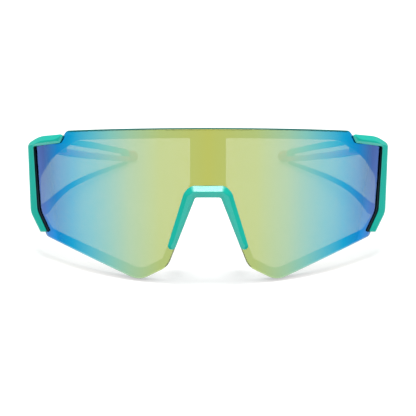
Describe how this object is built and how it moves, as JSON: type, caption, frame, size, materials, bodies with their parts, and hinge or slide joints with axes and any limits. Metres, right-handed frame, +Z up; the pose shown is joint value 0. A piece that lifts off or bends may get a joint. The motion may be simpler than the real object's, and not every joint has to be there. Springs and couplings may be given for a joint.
{
  "type": "shield sunglasses",
  "caption": "Wrap-around shield sunglasses: a curved mirrored lens on a rim, coloured side bars, a nose bridge with soft pads, and open-work folding arms with coloured grips.",
  "frame": {"origin": "middle of the footprint, on the surface the open glasses rest on", "axes": "+X to the viewer's right seen from the front, +Y from the lens back along the arms, +Z up"},
  "size_m": [0.1462, 0.1614, 0.0567],
  "materials": {
    "lens": "mirror-coated tinted sheet",
    "rim": "dark moulded plastic",
    "bar": "satin moulded plastic",
    "seal": "matt soft bead",
    "bridge": "satin moulded plastic",
    "pad": "matt soft pad",
    "arm": "satin moulded plastic",
    "brace": "matt moulded plastic",
    "grip": "matt ribbed strip",
    "sock": "matt soft sleeve",
    "hinge": "matt moulded plastic",
    "fastener": "bright turned"
  },
  "bodies": {
    "front": {"shield_lens": "lens", "front_frame": "rim", "nose_bridge": "bridge", "side_bar_left": "bar", "bar_screws_left": "fastener", "edge_seal_left": "seal", "nose_pad_left": "pad", "front_hinge_left": "hinge", "hinge_screw_left": "fastener", "side_bar_right": "bar", "bar_screws_right": "fastener", "edge_seal_right": "seal", "nose_pad_right": "pad", "front_hinge_right": "hinge", "hinge_screw_right": "fastener"},
    "temple_left": {"arm_left": "arm", "lower_brace_left": "brace", "grip_strip_left": "grip", "ear_sock_left": "sock", "arm_hinge_left": "hinge", "arm_rivets_left": "fastener"},
    "temple_right": {"arm_right": "arm", "lower_brace_right": "brace", "grip_strip_right": "grip", "ear_sock_right": "sock", "arm_hinge_right": "hinge", "arm_rivets_right": "fastener"}
  },
  "joints": [
    {"name": "fold_left", "type": "hinge", "parent": "front", "child": "temple_left", "pos_m": [-0.06045, -0.02311, 0.03434], "axis": [0, -0.3238, -0.9461], "range_deg": [0, 86]},
    {"name": "fold_right", "type": "hinge", "parent": "front", "child": "temple_right", "pos_m": [0.06045, -0.02311, 0.03434], "axis": [0, 0.3238, 0.9461], "range_deg": [0, 68]}
  ]
}
